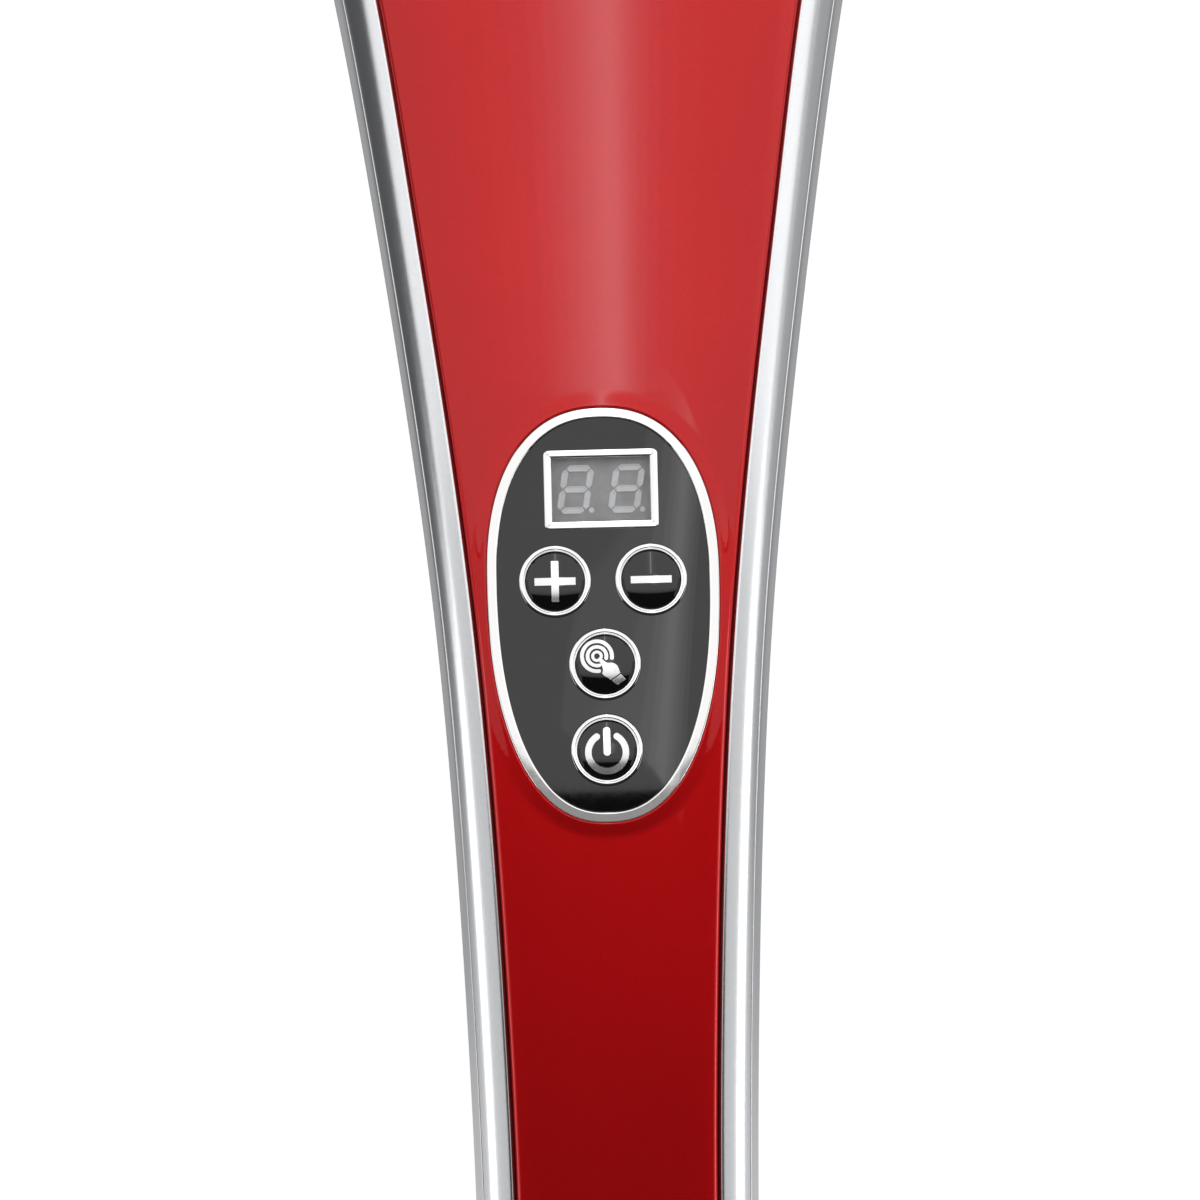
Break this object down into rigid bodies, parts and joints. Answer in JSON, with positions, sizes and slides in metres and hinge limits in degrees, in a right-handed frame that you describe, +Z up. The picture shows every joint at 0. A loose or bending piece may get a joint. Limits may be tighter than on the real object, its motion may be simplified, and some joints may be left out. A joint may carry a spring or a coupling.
{
  "type": "handheld percussion massager",
  "caption": "Cordless handheld percussion massager: long curved handle widening to a head with two rocking pads, red top panel, silver rails, oval keypad with display.",
  "frame": {"origin": "bottom centre of the whole object as it rests on its two massage pads and tail", "axes": "+Y from the tail to the head, +X to the right seen from the tail, +Z up out of the red panel"},
  "size_m": [0.1052, 0.4, 0.0868],
  "materials": {
    "silver_plastic": "satin silver paint with fine metal flake over moulded plastic",
    "red_gloss": "deep metallic red under a clear gloss coat",
    "chrome_trim": "bright plated plastic",
    "black_gloss": "piano black",
    "smoked_window": "clear grey tinted window",
    "display_grey": "dark grey display face",
    "segment_grey": "unlit translucent light bars",
    "silver_mark": "hot stamped silver",
    "black_plastic": "fine grained",
    "circuit_board": "green solder mask",
    "component_black": "moulded",
    "cell_wrap": "shrink wrap",
    "contact_brass": "plated",
    "zinc_steel": "zinc plated",
    "ground_steel": "ground",
    "magnet_grey": "sintered ferrite",
    "armature_steel": "lacquered laminations",
    "cast_zinc": "die cast",
    "die_cast": "die cast",
    "bronze": "sintered, oil filled",
    "soft_rubber": "matt",
    "grip_rubber": "matt, ribbed",
    "lead_insulation": "PVC sleeve"
  },
  "bodies": {
    "housing": {"battery_cells": "cell_wrap", "battery_holder": "black_plastic", "battery_leads": "lead_insulation", "button_rings": "chrome_trim", "casing_screws": "zinc_steel", "chassis_screws": "zinc_steel", "control_fascia": "black_gloss", "dc_jack": "black_plastic", "display_bezel": "chrome_trim", "display_module": "display_grey", "display_segments": "segment_grey", "display_window": "smoked_window", "drive_chassis": "die_cast", "dust_seals": "soft_rubber", "jack_pin": "contact_brass", "keypad_pcb": "circuit_board", "keypad_screws": "zinc_steel", "lower_casing": "silver_plastic", "main_pcb": "circuit_board", "motor_can": "zinc_steel", "motor_damper": "soft_rubber", "motor_end_cap": "black_plastic", "motor_leads": "lead_insulation", "motor_magnets": "magnet_grey", "motor_screws": "zinc_steel", "motor_terminals": "contact_brass", "node_collars": "chrome_trim", "panel_bezel": "chrome_trim", "pcb_components": "component_black", "pcb_screws": "zinc_steel", "pivot_clips": "zinc_steel", "pivot_pin": "ground_steel", "rear_grip": "grip_rubber", "red_top_panel": "red_gloss", "tact_switches": "black_plastic", "upper_casing": "silver_plastic"},
    "plus_key": {"plus_button": "black_gloss", "plus_mark": "silver_mark"},
    "minus_key": {"minus_button": "black_gloss", "minus_mark": "silver_mark"},
    "mode_key": {"mode_button": "black_gloss", "mode_mark": "silver_mark"},
    "power_key": {"power_button": "black_gloss", "power_mark": "silver_mark"},
    "rotor": {"motor_shaft": "ground_steel", "motor_armature": "armature_steel", "eccentric_cam": "cast_zinc", "cam_set_screw": "zinc_steel", "cam_bearing_inner": "ground_steel"},
    "bearing_race": {"cam_bearing_outer": "ground_steel", "cam_bearing_balls": "ground_steel"},
    "rocker": {"rocker_arm": "die_cast", "pivot_bushes": "bronze", "left_node_core": "black_plastic", "right_node_core": "black_plastic", "left_node_pad": "soft_rubber", "right_node_pad": "soft_rubber", "node_screws": "zinc_steel"}
  },
  "joints": [
    {"name": "plus_press", "type": "slide", "parent": "housing", "child": "plus_key", "axis": [0, -0.1335, 0.991], "range_m": [-0.0006, 0], "stiffness_N_per_m": 1500, "springref_m": 0.0006},
    {"name": "minus_press", "type": "slide", "parent": "housing", "child": "minus_key", "axis": [0, -0.1335, 0.991], "range_m": [-0.0006, 0], "stiffness_N_per_m": 1500, "springref_m": 0.0006},
    {"name": "mode_press", "type": "slide", "parent": "housing", "child": "mode_key", "axis": [0, -0.1335, 0.991], "range_m": [-0.0006, 0], "stiffness_N_per_m": 1500, "springref_m": 0.0006},
    {"name": "power_press", "type": "slide", "parent": "housing", "child": "power_key", "axis": [0, -0.1335, 0.991], "range_m": [-0.0006, 0], "stiffness_N_per_m": 1500, "springref_m": 0.0006},
    {"name": "motor_spin", "type": "hinge", "parent": "housing", "child": "rotor", "pos_m": [0, 0.085, 0.062], "axis": [0, 1, 0], "continuous": true},
    {"name": "race_spin", "type": "hinge", "parent": "rotor", "child": "bearing_race", "pos_m": [0, 0.117, 0.0635], "axis": [0, 1, 0], "continuous": true},
    {"name": "rocker_swing", "type": "hinge", "parent": "housing", "child": "rocker", "pos_m": [0, 0.142, 0.042], "axis": [0, 1, 0], "range_deg": [-4.3, 4.3]}
  ],
  "couplings": [
    {"joint": "race_spin", "follows": "motor_spin", "ratio": -1}
  ]
}
